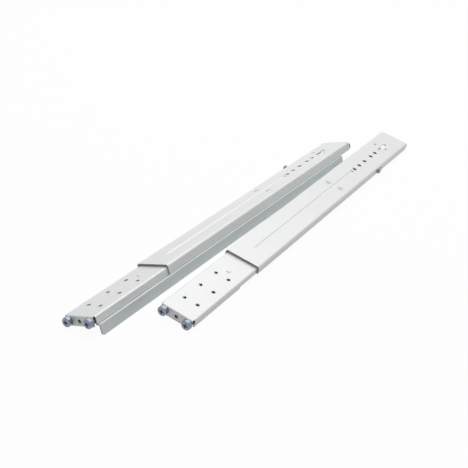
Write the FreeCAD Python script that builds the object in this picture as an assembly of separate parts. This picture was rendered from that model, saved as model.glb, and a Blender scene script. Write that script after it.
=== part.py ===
import FreeCAD, Part
import math
import os

V = FreeCAD.Vector

# A pair of sliding rack rails, left hand and right hand, lying on the floor with their webs up.
# Each rail is modelled flat in its own frame, in millimetres: X runs across the rail with the
# support ledge on the +X side, Y runs along it from the front end, and Z = 0 is the outer face
# of the rear channel's web. The right rail is the mirror image. Each rail is then tilted until
# it rests on its ledge and on two screw heads.

# Rack standard
HOLE_PITCH = 15.875        # pitch of the rack's mounting holes
SCREW_SPACING = 2 * HOLE_PITCH

# Rear channel
RAIL_WIDTH = 44.0
CHANNEL_SHEET = 1.5
CHANNEL_BEND = 2.0
CHANNEL_MOUTH = 131.0      # from the rail's front end, with the rail closed
CHANNEL_LENGTH = 479.0
LEDGE_SIDE_DEPTH = 12.5
FREE_SIDE_DEPTH = 7.5
END_FLANGE_BOTTOM = 15.0   # depth of both end flanges below the channel's outer face
CORNER_NOTCH = 3.5
END_FLANGE_INSET = 1.8     # from the rail's side to the edge of an end flange

# Stiffening bead pressed into the channel's web
BEAD_RADIUS = 3.2
BEAD_DEPTH = 1.2
BEAD_START = 30.0          # from the mouth
BEAD_ROW_GAP = 8.0         # from the bead's end to the first hole of the row

# Row of holes in the channel's web, as distances from the mouth
ROW_DIAMETER = 5.5
ROW_STATIONS = (323.0, 340.0, 359.0, 382.0, 398.0)
ROW_OPEN_BELOW = (True, False, True, True, False)  # holes that the front slide repeats
SLOT_WIDTH = 4.5
SLOT_LENGTH = 16.0
SLOT_STATION = 418.0
PILOT_DIAMETER = 3.0
PILOT_STATION = 413.0
PILOT_OFFSET = 8.5

# Front slide
SLIDE_SHEET = 1.2
SLIDE_BEND = 1.6
SLIDE_CLEARANCE = 0.3
SLIDE_REAR_GAP = 44.0      # from the closed slide's rear end to the channel's
HEAD_LENGTH = 94.0         # deep, full-width part at the front
JOGGLE_START = 97.0
JOGGLE_LENGTH = 10.0
HEAD_FREE_BOTTOM = 10.5
NESTED_BOTTOM = 8.5
WEB_HOLE_DIAMETER = 4.4
WEB_HOLE_START = 27.0
WEB_HOLE_PITCH = 32.4
WEB_HOLE_SPACING = 17.7
WEB_HOLE_PAIRS = 3
DIMPLE_STATION = 106.0
DIMPLE_DIAMETER = 5.0
DIMPLE_HEIGHT = 0.9

# Support ledge
LEDGE_SHEET = 1.5
LEDGE_DEPTH = 26.0
LEDGE_FRONT = 4.0          # from the rail's front end, with the rail closed
LEDGE_REAR_GAP = 34.0      # from the ledge's rear end to the channel's
LEDGE_CORNER = 2.0
LEDGE_LEG_GAP = 0.5        # between the slide's nested flange and the ledge's upper leg
LEDGE_LEG_START = 8.0      # the upper leg starts behind the clinch nut
CREASE_DROP = 0.3          # from the channel's flange to the ledge's outward bend
RIVET_DIAMETER = 2.4
RIVET_HEAD = 3.6
RIVET_HEAD_HEIGHT = 0.7
RIVET_COUNT = 6
RIVET_MARGIN = 25.0

# Guide studs that hold the slide to the channel
STUD_STATION = 253.0       # from the mouth
STUD_SPACING = 19.5
STUD_DIAMETER = 5.0
STUD_HEAD_DIAMETER = 8.0
STUD_HEAD_SEAT = 1.0
STUD_HEAD_PROUD = 0.3
STUD_LENGTH = 10.5
BUSH_WALL = 1.0
GUIDE_WASHER_DIAMETER = 11.0
GUIDE_WASHER_THICKNESS = 1.0
GUIDE_NUT_FLATS = 8.0
GUIDE_NUT_HEIGHT = 4.0
GUIDE_SLOT_MARGIN = 18.15  # from the guide slots to the slide's rear end
TRAVEL_IN = 2.5

# Rack screws and clinch nuts
THREAD_DIAMETER = 5.0
THREAD_CORE = 4.2
SCREW_HEAD_DIAMETER = 13.0
SCREW_HEAD_HEIGHT = 4.6
SCREW_HEAD_ROUND = 1.1
SCREW_GRIP = 12.0          # shank length under the head
RECESS_WIDTH = 1.5
RECESS_LENGTH = 7.4
RECESS_DEPTH = 2.4
LOCK_WASHER_DIAMETER = 11.6
LOCK_WASHER_THICKNESS = 1.1
NUT_BODY_DIAMETER = 8.8
NUT_HEIGHT = 5.0
NUT_PILOT_DIAMETER = 6.3
SCREW_DROP = 9.2           # screw axes below the channel's outer face

# Clamp screw on the free side of the channel
CLAMP_STATION = 361.0      # from the mouth
CLAMP_DROP = 3.9
CLAMP_HEAD_DIAMETER = 9.0
CLAMP_HEAD_LENGTH = 4.5
CLAMP_DIAMETER = 4.0
CLAMP_TIP_GAP = 0.15
CLAMP_WASHER_DIAMETER = 8.0
CLAMP_WASHER_THICKNESS = 0.8
CLAMP_GRIPS = 18
CLAMP_GRIP_DEPTH = 0.35

FIT = 0.05                 # radial clearance of a pin or thread in its hole

# How the pair lies
RAIL_DISTANCE = 86.0       # between the middles of the two rails' front ends
RIGHT_SETBACK = 63.8       # the right rail lies further back
RIGHT_PULLED = 6.3         # is pulled out a little
RIGHT_HEADING = 1.5        # and points a little towards the left rail, in degrees

CUT_OVERRUN = 1.0          # how far a cut reaches past the sheet

HALF_WIDTH = RAIL_WIDTH / 2
CHANNEL_INSIDE = HALF_WIDTH - CHANNEL_SHEET
NESTED_HALF = CHANNEL_INSIDE - SLIDE_CLEARANCE
SLIDE_TOP = -(CHANNEL_SHEET + BEAD_DEPTH + SLIDE_CLEARANCE)
SLIDE_UNDER = SLIDE_TOP - SLIDE_SHEET
CHANNEL_END = CHANNEL_MOUTH + CHANNEL_LENGTH
SLIDE_LENGTH = CHANNEL_END - SLIDE_REAR_GAP
LEDGE_LENGTH = CHANNEL_END - LEDGE_REAR_GAP - LEDGE_FRONT
END_FLANGE_HALF = HALF_WIDTH - END_FLANGE_INSET
BUSH_RADIUS = STUD_DIAMETER / 2 + FIT + BUSH_WALL
GUIDE_SLOT_HALF = BUSH_RADIUS + SLIDE_CLEARANCE
GUIDE_SLOT_END = SLIDE_LENGTH - GUIDE_SLOT_MARGIN - GUIDE_SLOT_HALF
TRAVEL_OUT = GUIDE_SLOT_END - CHANNEL_MOUTH - STUD_STATION  # of the closed rail
BUSH_BOTTOM = SLIDE_UNDER - SLIDE_CLEARANCE
LEDGE_LEG_TOP = -(NESTED_BOTTOM + LEDGE_LEG_GAP)
CREASE_TOP = -(LEDGE_SIDE_DEPTH + CREASE_DROP)
SCREW_PLACES = (-SCREW_SPACING / 2, SCREW_SPACING / 2)


def box(x0, x1, y0, y1, z0, z1):
    return Part.makeBox(x1 - x0, y1 - y0, z1 - z0, V(x0, y0, z0))


def rod(radius, start, end):
    """A round bar from one point to another."""
    way = end.sub(start)
    return Part.makeCylinder(radius, way.Length, start, way)


def tube(outer, inner, start, end):
    return rod(outer, start, end).cut(rod(inner, start, end))


def fused(shapes):
    first = shapes[0]
    if len(shapes) > 1:
        first = first.multiFuse(shapes[1:])
    return first.removeSplitter()


def edges_along(shape, axis, places):
    """Edges along one axis that pass through one of the places, given as the other coordinates."""
    others = [i for i in range(3) if i != axis]
    found = []
    for edge in shape.Edges:
        a = edge.Vertexes[0].Point
        b = edge.Vertexes[-1].Point
        if any(abs(a[i] - b[i]) > 1e-4 for i in others) or abs(a[axis] - b[axis]) < 1e-3:
            continue
        if any(abs(a[others[0]] - p) < 1e-3 and abs(a[others[1]] - q) < 1e-3 for p, q in places):
            found.append(edge)
    return found


def channel_section(y, half, top, free_bottom, ledge_bottom, sheet, bend):
    """The closed outline of a bent channel, open below, at one place along the rail."""
    inner = bend - sheet
    diagonal = math.sqrt(0.5)

    def corner(side, centre_z, radius):
        """Three points of a bend, from its flange to its web."""
        x = side * (half - bend)
        return (V(x + side * radius, y, centre_z),
                V(x + side * radius * diagonal, y, centre_z + radius * diagonal),
                V(x, y, centre_z + radius))

    z = top - bend
    a = corner(-1, z, bend)
    b = corner(1, z, bend)[::-1]
    c = corner(1, z, inner)
    d = corner(-1, z, inner)[::-1]
    ends = (V(-half, y, free_bottom), V(half, y, ledge_bottom),
            V(half - sheet, y, ledge_bottom), V(sheet - half, y, free_bottom))
    edges = [Part.makeLine(ends[0], a[0]),
             Part.Arc(*a).toShape(),
             Part.makeLine(a[2], b[0]),
             Part.Arc(*b).toShape(),
             Part.makeLine(b[2], ends[1]),
             Part.makeLine(ends[1], ends[2]),
             Part.makeLine(ends[2], c[0]),
             Part.Arc(*c).toShape(),
             Part.makeLine(c[2], d[0]),
             Part.Arc(*d).toShape(),
             Part.makeLine(d[2], ends[3]),
             Part.makeLine(ends[3], ends[0])]
    return Part.Wire(edges)


def straight_channel(y0, y1, half, top, free_bottom, ledge_bottom, sheet, bend):
    section = channel_section(y0, half, top, free_bottom, ledge_bottom, sheet, bend)
    return Part.Face(section).extrude(V(0, y1 - y0, 0))


def end_flange(face_y, inward, top, sheet, bend):
    """A flange bent down from the web's end. Inward is +1 where the rail lies at larger Y."""
    back_y = face_y + inward * sheet
    strip_y = face_y + inward * (CORNER_NOTCH + CUT_OVERRUN)
    y0, y1 = sorted((face_y, back_y))
    s0, s1 = sorted((face_y, strip_y))
    down = box(-END_FLANGE_HALF, END_FLANGE_HALF, y0, y1, -END_FLANGE_BOTTOM, top)
    strip = box(-END_FLANGE_HALF, END_FLANGE_HALF, s0, s1, top - sheet, top)
    flange = fused([down, strip])
    flange = flange.makeFillet(bend - sheet, edges_along(flange, 0, [(back_y, top - sheet)]))
    flange = flange.makeFillet(bend, edges_along(flange, 0, [(face_y, top)]))
    corners = [(s * END_FLANGE_HALF, -END_FLANGE_BOTTOM) for s in (-1, 1)]
    return flange.makeFillet(1.0, edges_along(flange, 1, corners))


def end_flange_holes(y0, y1):
    """Holes of one end flange: two for the rack screws' nuts and one for the centre nut."""
    hole = NUT_PILOT_DIAMETER / 2 + FIT
    places = SCREW_PLACES + (0.0,)
    return [rod(hole, V(x, y0, -SCREW_DROP), V(x, y1, -SCREW_DROP)) for x in places]


def obround(width, length, x, y, z0, z1):
    """A slot cutter with round ends, centred at x, y and lying along the rail."""
    reach = (length - width) / 2
    parts = [rod(width / 2, V(x, y + s * reach, z0), V(x, y + s * reach, z1)) for s in (-1, 1)]
    parts.append(box(x - width / 2, x + width / 2, y - reach, y + reach, z0, z1))
    return fused(parts)


def bead_body(radius, y0, y1):
    axis_z = BEAD_RADIUS - BEAD_DEPTH
    bar = rod(radius, V(0, y0, axis_z), V(0, y1, axis_z))
    ends = [Part.makeSphere(radius, V(0, y, axis_z)) for y in (y0, y1)]
    return fused([bar] + ends)


def stud_places(mouth):
    return [V(s * STUD_SPACING / 2, mouth + STUD_STATION, 0) for s in (-1, 1)]


def rivet_places(mouth):
    """Rivets spaced evenly along the stretch where channel and ledge overlap."""
    ledge_end = LEDGE_FRONT + LEDGE_LENGTH - CHANNEL_MOUTH
    first = RIVET_MARGIN
    step = (ledge_end - 2 * RIVET_MARGIN) / (RIVET_COUNT - 1)
    drop = (LEDGE_LEG_TOP - LEDGE_SIDE_DEPTH) / 2
    return [(mouth + first + i * step, drop) for i in range(RIVET_COUNT)]


def rear_channel(pull):
    mouth = CHANNEL_MOUTH + pull
    end = CHANNEL_END + pull
    top_low = -2 * CHANNEL_SHEET
    shell = straight_channel(mouth, end, HALF_WIDTH, 0.0, -FREE_SIDE_DEPTH, -LEDGE_SIDE_DEPTH,
                             CHANNEL_SHEET, CHANNEL_BEND)
    wide = HALF_WIDTH + CUT_OVERRUN
    low = -END_FLANGE_BOTTOM - CUT_OVERRUN
    high = CUT_OVERRUN
    notch = box(-wide, wide, end - CORNER_NOTCH, end + CUT_OVERRUN, low, high)
    shell = shell.cut(notch)
    shell = fused([shell, end_flange(end, -1, 0.0, CHANNEL_SHEET, CHANNEL_BEND)])
    bead_start = mouth + BEAD_START
    bead_end = mouth + ROW_STATIONS[0] - BEAD_ROW_GAP
    swelling = bead_body(BEAD_RADIUS + CHANNEL_SHEET, bead_start, bead_end)
    below = box(-HALF_WIDTH, HALF_WIDTH, mouth, end, -END_FLANGE_BOTTOM, -CHANNEL_SHEET / 2)
    shell = fused([shell, swelling.common(below)])
    cuts = [bead_body(BEAD_RADIUS, bead_start, bead_end)]
    for station in ROW_STATIONS:
        y = mouth + station
        cuts.append(rod(ROW_DIAMETER / 2, V(0, y, top_low), V(0, y, high)))
    cuts.append(obround(SLOT_WIDTH, SLOT_LENGTH, 0, mouth + SLOT_STATION, top_low, high))
    pilot = V(-PILOT_OFFSET, mouth + PILOT_STATION, top_low)
    cuts.append(rod(PILOT_DIAMETER / 2, pilot, pilot + V(0, 0, high - top_low)))
    for place in stud_places(mouth):
        cuts.append(rod(STUD_DIAMETER / 2 + FIT, place + V(0, 0, top_low), place + V(0, 0, high)))
        seat = place + V(0, 0, -STUD_HEAD_SEAT)
        cuts.append(rod(STUD_HEAD_DIAMETER / 2 + FIT, seat, place + V(0, 0, high)))
    for y, z in rivet_places(mouth):
        cuts.append(rod(RIVET_DIAMETER / 2 + FIT, V(0, y, z), V(wide, y, z)))
    clamp_y = mouth + CLAMP_STATION
    cuts.append(rod(CLAMP_DIAMETER / 2 + FIT, V(0, clamp_y, -CLAMP_DROP),
                    V(-wide, clamp_y, -CLAMP_DROP)))
    cuts += end_flange_holes(end - CORNER_NOTCH, end + CUT_OVERRUN)
    return shell.cut(cuts).removeSplitter()


def front_slide():
    nested_start = JOGGLE_START + JOGGLE_LENGTH
    sheet = (SLIDE_SHEET, SLIDE_BEND)
    head = straight_channel(CORNER_NOTCH, HEAD_LENGTH, HALF_WIDTH, SLIDE_TOP,
                            -HEAD_FREE_BOTTOM, -LEDGE_SIDE_DEPTH, *sheet)
    neck = straight_channel(HEAD_LENGTH, JOGGLE_START, HALF_WIDTH, SLIDE_TOP,
                            -NESTED_BOTTOM, -NESTED_BOTTOM, *sheet)
    wide = channel_section(JOGGLE_START, HALF_WIDTH, SLIDE_TOP,
                           -NESTED_BOTTOM, -NESTED_BOTTOM, *sheet)
    narrow = channel_section(nested_start, NESTED_HALF, SLIDE_TOP,
                             -NESTED_BOTTOM, -NESTED_BOTTOM, *sheet)
    joggle = Part.makeLoft([wide, narrow], True, True)
    tail = straight_channel(nested_start, SLIDE_LENGTH, NESTED_HALF, SLIDE_TOP,
                            -NESTED_BOTTOM, -NESTED_BOTTOM, *sheet)
    shell = fused([head, neck, joggle, tail])
    shell = fused([shell, end_flange(0.0, 1, SLIDE_TOP, SLIDE_SHEET, SLIDE_BEND)])
    dimple = Part.makeCone(DIMPLE_DIAMETER / 2, DIMPLE_DIAMETER / 2 - DIMPLE_HEIGHT, DIMPLE_HEIGHT,
                           V(0, DIMPLE_STATION, SLIDE_TOP))
    shell = fused([shell, dimple])
    low = SLIDE_UNDER - CUT_OVERRUN
    high = SLIDE_TOP + CUT_OVERRUN
    cuts = [Part.makeCone(DIMPLE_DIAMETER / 2, DIMPLE_DIAMETER / 2 - DIMPLE_HEIGHT, DIMPLE_HEIGHT,
                          V(0, DIMPLE_STATION, SLIDE_UNDER))]
    for pair in range(WEB_HOLE_PAIRS):
        y = WEB_HOLE_START + pair * WEB_HOLE_PITCH
        for side in (-1, 1):
            x = side * WEB_HOLE_SPACING / 2
            cuts.append(rod(WEB_HOLE_DIAMETER / 2, V(x, y, low), V(x, y, high)))
    for station, is_open in zip(ROW_STATIONS, ROW_OPEN_BELOW):
        if is_open:
            y = CHANNEL_MOUTH + station
            cuts.append(rod(ROW_DIAMETER / 2, V(0, y, low), V(0, y, high)))
    stroke = TRAVEL_OUT + TRAVEL_IN
    middle = CHANNEL_MOUTH + STUD_STATION + (TRAVEL_OUT - TRAVEL_IN) / 2
    for place in stud_places(0.0):
        cuts.append(obround(2 * GUIDE_SLOT_HALF, stroke + 2 * GUIDE_SLOT_HALF,
                            place.x, middle, low, high))
    cuts += end_flange_holes(-CUT_OVERRUN, CORNER_NOTCH)
    return shell.cut(cuts).removeSplitter()


def support_ledge(pull):
    """A plate joggled outward just below the channel's flange, with its front leg cut back."""
    outer = CHANNEL_INSIDE
    inner = outer - LEDGE_SHEET
    rise = LEDGE_SHEET * math.tan(math.pi / 8)
    points = [(outer, LEDGE_LEG_TOP),
              (outer, CREASE_TOP),
              (HALF_WIDTH, CREASE_TOP - CHANNEL_SHEET),
              (HALF_WIDTH, -LEDGE_DEPTH),
              (HALF_WIDTH - LEDGE_SHEET, -LEDGE_DEPTH),
              (HALF_WIDTH - LEDGE_SHEET, CREASE_TOP - CHANNEL_SHEET - rise),
              (inner, CREASE_TOP - rise),
              (inner, LEDGE_LEG_TOP)]
    y0 = LEDGE_FRONT + pull
    outline = [V(x, y0, z) for x, z in points]
    plate = Part.Face(Part.makePolygon(outline + outline[:1])).extrude(V(0, LEDGE_LENGTH, 0))
    corners = [(y0, -LEDGE_DEPTH), (y0 + LEDGE_LENGTH, -LEDGE_DEPTH)]
    plate = plate.makeChamfer(LEDGE_CORNER, edges_along(plate, 0, corners))
    leg_front = box(0, HALF_WIDTH, y0 - CUT_OVERRUN, y0 + LEDGE_LEG_START, CREASE_TOP, 0)
    cuts = [leg_front]
    for y, z in rivet_places(CHANNEL_MOUTH + pull):
        cuts.append(rod(RIVET_DIAMETER / 2 + FIT, V(0, y, z), V(HALF_WIDTH, y, z)))
    return plate.cut(cuts)


def ledge_rivets(pull):
    inner = CHANNEL_INSIDE - LEDGE_SHEET
    rivets = []
    for y, z in rivet_places(CHANNEL_MOUTH + pull):
        shank = rod(RIVET_DIAMETER / 2, V(inner, y, z), V(HALF_WIDTH, y, z))
        head = Part.makeCone(RIVET_HEAD / 2, RIVET_HEAD / 2 - RIVET_HEAD_HEIGHT, RIVET_HEAD_HEIGHT,
                             V(inner, y, z), V(-1, 0, 0))
        rivets.append(fused([shank, head]))
    return rivets


def guide_studs(pull):
    studs = []
    for place in stud_places(CHANNEL_MOUTH + pull):
        seat = place + V(0, 0, -STUD_HEAD_SEAT)
        head = rod(STUD_HEAD_DIAMETER / 2, seat, place + V(0, 0, STUD_HEAD_PROUD))
        rim = [e for e in head.Edges if abs(e.BoundBox.ZMin - STUD_HEAD_PROUD) < 1e-4
               and abs(e.BoundBox.ZMax - STUD_HEAD_PROUD) < 1e-4]
        head = head.makeChamfer(STUD_HEAD_PROUD * 0.8, rim)
        shank = rod(STUD_DIAMETER / 2, seat, place + V(0, 0, -STUD_LENGTH))
        studs.append(fused([head, shank]))
    return studs


def guide_bushes(pull):
    inner = STUD_DIAMETER / 2 + FIT
    return [tube(BUSH_RADIUS, inner, place + V(0, 0, BUSH_BOTTOM), place + V(0, 0, -CHANNEL_SHEET))
            for place in stud_places(CHANNEL_MOUTH + pull)]


def guide_washers(pull):
    bottom = BUSH_BOTTOM - GUIDE_WASHER_THICKNESS
    inner = STUD_DIAMETER / 2 + FIT
    return [tube(GUIDE_WASHER_DIAMETER / 2, inner, place + V(0, 0, bottom),
                 place + V(0, 0, BUSH_BOTTOM))
            for place in stud_places(CHANNEL_MOUTH + pull)]


def guide_nuts(pull):
    top = BUSH_BOTTOM - GUIDE_WASHER_THICKNESS
    corner = GUIDE_NUT_FLATS / 2 / math.cos(math.pi / 6)
    nuts = []
    for place in stud_places(CHANNEL_MOUTH + pull):
        ring = [place + V(corner * math.cos(i * math.pi / 3), corner * math.sin(i * math.pi / 3),
                          top - GUIDE_NUT_HEIGHT) for i in range(7)]
        block = Part.Face(Part.makePolygon(ring)).extrude(V(0, 0, GUIDE_NUT_HEIGHT))
        bore = rod(STUD_DIAMETER / 2 + FIT, place + V(0, 0, top - GUIDE_NUT_HEIGHT - CUT_OVERRUN),
                   place + V(0, 0, top + CUT_OVERRUN))
        nuts.append(block.cut(bore))
    return nuts


def rack_screw(x, face_y, outward):
    """A washer-faced screw with a cross recess. Outward is the Y direction its head faces."""
    under = face_y + outward * LOCK_WASHER_THICKNESS
    crown = under + outward * SCREW_HEAD_HEIGHT
    at = lambda y: V(x, y, -SCREW_DROP)
    head = rod(SCREW_HEAD_DIAMETER / 2, at(under), at(crown))
    rim = [e for e in head.Edges if abs(e.BoundBox.YMin - crown) < 1e-4
           and abs(e.BoundBox.YMax - crown) < 1e-4]
    head = head.makeFillet(SCREW_HEAD_ROUND, rim)
    shank = rod(THREAD_DIAMETER / 2, at(under), at(under - outward * SCREW_GRIP))
    screw = fused([head, shank])
    y0, y1 = sorted((crown - outward * RECESS_DEPTH, crown + outward))
    half = RECESS_LENGTH / 2
    thin = RECESS_WIDTH / 2
    arms = [box(x - a, x + a, y0, y1, -SCREW_DROP - b, -SCREW_DROP + b)
            for a, b in ((half, thin), (thin, half))]
    return screw.cut(arms)


def rack_screws(face_y, outward):
    return [rack_screw(x, face_y, outward) for x in SCREW_PLACES]


def lock_washers(face_y, outward):
    end = face_y + outward * LOCK_WASHER_THICKNESS
    return [tube(LOCK_WASHER_DIAMETER / 2, THREAD_DIAMETER / 2 + FIT,
                 V(x, face_y, -SCREW_DROP), V(x, end, -SCREW_DROP)) for x in SCREW_PLACES]


def clinch_nut(x, face_y, outward, sheet, bore):
    """A round nut pressed into an end flange from behind, its pilot flush with the flange's face."""
    back = face_y - outward * sheet
    end = back - outward * NUT_HEIGHT
    at = lambda y: V(x, y, -SCREW_DROP)
    pilot = rod(NUT_PILOT_DIAMETER / 2, at(face_y), at(back))
    body = rod(NUT_BODY_DIAMETER / 2, at(back), at(end))
    hole = rod(bore, at(face_y + outward), at(end - outward))
    return fused([pilot, body]).cut(hole)


def clinch_nuts(face_y, outward, sheet):
    bore = THREAD_DIAMETER / 2 + FIT
    return [clinch_nut(x, face_y, outward, sheet, bore) for x in SCREW_PLACES]


def centre_nut(face_y, outward, sheet):
    return [clinch_nut(0.0, face_y, outward, sheet, THREAD_CORE / 2)]


def clamp_screw(pull):
    y = CHANNEL_MOUTH + pull + CLAMP_STATION
    at = lambda x: V(x, y, -CLAMP_DROP)
    seat = -HALF_WIDTH - CLAMP_WASHER_THICKNESS
    tip = -NESTED_HALF - CLAMP_TIP_GAP
    head = rod(CLAMP_HEAD_DIAMETER / 2, at(seat - CLAMP_HEAD_LENGTH), at(seat))
    grooves = []
    for i in range(CLAMP_GRIPS):
        angle = 2 * math.pi * i / CLAMP_GRIPS
        radius = CLAMP_HEAD_DIAMETER / 2
        dy = radius * math.cos(angle)
        dz = radius * math.sin(angle)
        start = at(seat - CLAMP_HEAD_LENGTH - CUT_OVERRUN) + V(0, dy, dz)
        grooves.append(rod(CLAMP_GRIP_DEPTH, start, start + V(CLAMP_HEAD_LENGTH, 0, 0)))
    shank = rod(CLAMP_DIAMETER / 2, at(seat), at(tip))
    return [fused([head.cut(grooves), shank])]


def clamp_washer(pull):
    y = CHANNEL_MOUTH + pull + CLAMP_STATION
    return [tube(CLAMP_WASHER_DIAMETER / 2, CLAMP_DIAMETER / 2 + FIT,
                 V(-HALF_WIDTH - CLAMP_WASHER_THICKNESS, y, -CLAMP_DROP),
                 V(-HALF_WIDTH, y, -CLAMP_DROP))]


def one_rail(pull):
    """Every piece of one rail, by name. Pull is how far the rear channel is drawn back."""
    rear_face = CHANNEL_END + pull
    return {
        "rear_channel": [rear_channel(pull)],
        "support_ledge": [support_ledge(pull)],
        "ledge_rivets": ledge_rivets(pull),
        "guide_studs": guide_studs(pull),
        "guide_bushes": guide_bushes(pull),
        "guide_washers": guide_washers(pull),
        "guide_nuts": guide_nuts(pull),
        "rear_screws": rack_screws(rear_face, 1),
        "rear_lock_washers": lock_washers(rear_face, 1),
        "rear_clinch_nuts": clinch_nuts(rear_face, 1, CHANNEL_SHEET),
        "rear_centre_nut": centre_nut(rear_face, 1, CHANNEL_SHEET),
        "clamp_washer": clamp_washer(pull),
        "clamp_screw": clamp_screw(pull),
        "front_slide": [front_slide()],
        "front_screws": rack_screws(0.0, -1),
        "front_lock_washers": lock_washers(0.0, -1),
        "front_clinch_nuts": clinch_nuts(0.0, -1, SLIDE_SHEET),
        "front_centre_nut": centre_nut(0.0, -1, SLIDE_SHEET),
    }


def resting_tilt():
    """The angle at which the ledge's edge and the free side's screw heads touch one floor."""
    across = HALF_WIDTH + SCREW_SPACING / 2
    down = LEDGE_DEPTH - SCREW_DROP
    return math.acos(SCREW_HEAD_DIAMETER / 2 / math.hypot(across, down)) - math.atan2(across, down)


def place_rail(pieces, side):
    """Mirror the right rail, tilt the rail with its ledge side up and set it in its place."""
    turn = -side * math.degrees(resting_tilt())
    placed = {}
    for name, solids in pieces.items():
        shape = Part.Compound(solids) if len(solids) > 1 else solids[0]
        if side < 0:
            shape = shape.mirror(V(0, 0, 0), V(1, 0, 0))
        shape = shape.copy()
        shape.rotate(V(0, 0, 0), V(0, 1, 0), turn)
        if side < 0:
            shape.rotate(V(0, 0, 0), V(0, 0, 1), RIGHT_HEADING)
        back = RIGHT_SETBACK if side < 0 else 0.0
        shape.translate(V(-side * RAIL_DISTANCE / 2, back, 0))
        placed[name] = shape
    return placed


def build():
    """All nodes, with the origin under the middle of the pair's box, on the floor."""
    nodes = {}
    for label, side, pull in (("left", 1, 0.0), ("right", -1, RIGHT_PULLED)):
        for name, shape in place_rail(one_rail(pull), side).items():
            nodes[label + "_" + name] = shape
    whole = Part.Compound(list(nodes.values())).BoundBox
    for shape in nodes.values():
        shape.translate(V(-whole.Center.x, -whole.Center.y, -whole.ZMin))
    return nodes


def main():
    os.makedirs("parts", exist_ok=True)
    for name, shape in build().items():
        shape.exportStep("parts/" + name + ".step")


main()
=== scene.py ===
"""Sheet forms, screws, finishes, lamps and floor for a pair of sliding rack rails."""

import math

import bmesh
import bpy
from mathutils import Matrix, Vector


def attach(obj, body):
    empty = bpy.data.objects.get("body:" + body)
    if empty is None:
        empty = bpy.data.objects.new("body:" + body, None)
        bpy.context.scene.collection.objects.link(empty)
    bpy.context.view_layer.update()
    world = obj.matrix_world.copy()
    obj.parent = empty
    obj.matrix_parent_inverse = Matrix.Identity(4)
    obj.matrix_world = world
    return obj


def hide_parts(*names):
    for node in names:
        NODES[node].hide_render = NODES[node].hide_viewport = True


bl_info = {
    "name": "Sliding rack rail pair",
    "version": (1, 0, 0),
    "blender": (4, 5, 0),
    "location": "View3D > Sidebar > Rack rails",
    "description": "Sheet forms, threads, finishes and a studio for a pair of sliding rack rails",
    "category": "Object",
}

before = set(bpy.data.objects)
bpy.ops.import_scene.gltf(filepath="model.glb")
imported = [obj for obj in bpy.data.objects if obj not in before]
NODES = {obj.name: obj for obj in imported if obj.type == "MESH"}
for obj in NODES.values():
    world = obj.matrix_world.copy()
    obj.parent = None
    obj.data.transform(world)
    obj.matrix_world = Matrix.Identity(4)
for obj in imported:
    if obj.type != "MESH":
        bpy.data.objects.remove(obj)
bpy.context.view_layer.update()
SIDES = ("left", "right")

# How the rails lie in the frame, as in the CAD. Sizes of pieces are in millimetres, in each
# rail's own frame: X across towards the ledge, Y along from the front end, Z up from the web.
TILT = math.radians(14.8947)
HEADING = {"left": 0.0, "right": math.radians(1.5)}
HAND = {"left": 1, "right": -1}
PLACE = {"left": (-43.0, 0.0, 0.0), "right": (43.0, 63.8, 0.0)}
FRAME_SHIFT = (3.2517, -340.1872, 19.857)
PULL = {"left": 0.0, "right": 6.3}

# Stations are measured from the channel's mouth, unless a comment says otherwise.
MOUTH = 131.0                 # from the front end, with the rail closed
END = 610.0
CLEAR = 0.05                  # radial play of a pin in its hole
SIDE_BOTTOM = -12.5

CHANNEL_HALF = 23.75
CHANNEL_SHEET = 1.5
CHANNEL_BEND = 3.0
CHANNEL_FREE_BOTTOM = -9.8
BEAD_RADIUS = 3.2
BEAD_AXIS = 2.3
BEAD_SPAN = (30.0, 315.0)
SWELLING = 2.0                # how far the sheet under the bead reaches past its ends
ROW = (323.0, 340.0, 359.0, 382.0, 398.0)
SLOT_STATION = 426.0
PILOT_RADIUS = 1.75
PILOT_STATION = 425.0
PILOT_PLACES = (-12, 7)
WEB_CUT = (-3, 1)             # heights between which the channel's web is cut

FLANGE_HALF = 20.2
FLANGE_BOTTOM = -15.0
FLANGE_CORNER = 1.0
NOTCH = 3.5
NUT_HOLE = 3.2

SLIDE_HALF = 22.0
SLIDE_TOP = -3.0
SLIDE_SHEET = 1.2
SLIDE_BEND = 2.4
SLIDE_FLANGE_BEND = 1.6
SLIDE_LENGTH = 566.0
SLIDE_FREE_BOTTOM = -10.0     # behind the deep head
SLIDE_LEDGE_BOTTOM = -8.5     # where the ledge's upper leg lies under it
HEAD_LENGTH = 100.0           # from the front end, like the dimple and the web's holes
DIMPLE_STATION = 106.0
WEB_HOLE_RADIUS = 2.4
WEB_HOLE_START = 27.0
WEB_HOLE_PITCH = 32.4
WEB_HOLE_PLACES = (-8.85, 8.85)
GUIDE_SLOT_WIDTH = 7.7
GUIDE_SLOT_LENGTH = 170.2
GUIDE_SLOT_MIDDLE = 462.75    # from the front end
SLIDE_CUT = (-6, -1)          # heights between which the slide's web is cut

LEDGE_SPAN = (4.0, 576.0)     # from the front end, with the rail closed
LEDGE_OUTER, LEDGE_INNER = 25.0, 19.0
LEDGE_TOP, LEDGE_BOTTOM = -9.0, -26.5
LEDGE_CREASE, LEDGE_UNDER = -12.8, -14.3
LEDGE_BEND = 1.6

STUD_PLACES = (-9.75, 9.75)
STUD_STATION = 253.0
STUD_RADIUS = 2.5
STUD_HEAD_RADIUS = 4.0
STUD_HEAD_SEAT = -1.0
RIVET_STATIONS = tuple(25.0 + 79.0 * i for i in range(6))
RIVET_DROP = -10.75
RIVET_RADIUS = 1.2
SCREW_DROP = -9.2
SCREW_PLACES = (-15.875, 15.875)
THREAD_PITCH = 0.8
THREAD_TURNS = 14
THREAD_ROOT, THREAD_CREST = 2.15, 2.5
CLAMP_STATION = 361.0
CLAMP_DROP = -3.9
CLAMP_RADIUS = 2.0
CLAMP_TIP = -22.15
CLAMP_HEAD = (-27.25, -24.55)
CLAMP_HEAD_RADIUS = 4.65
CLAMP_RIB = 0.3
CLAMP_WASHER_RADIUS = 3.8

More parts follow.
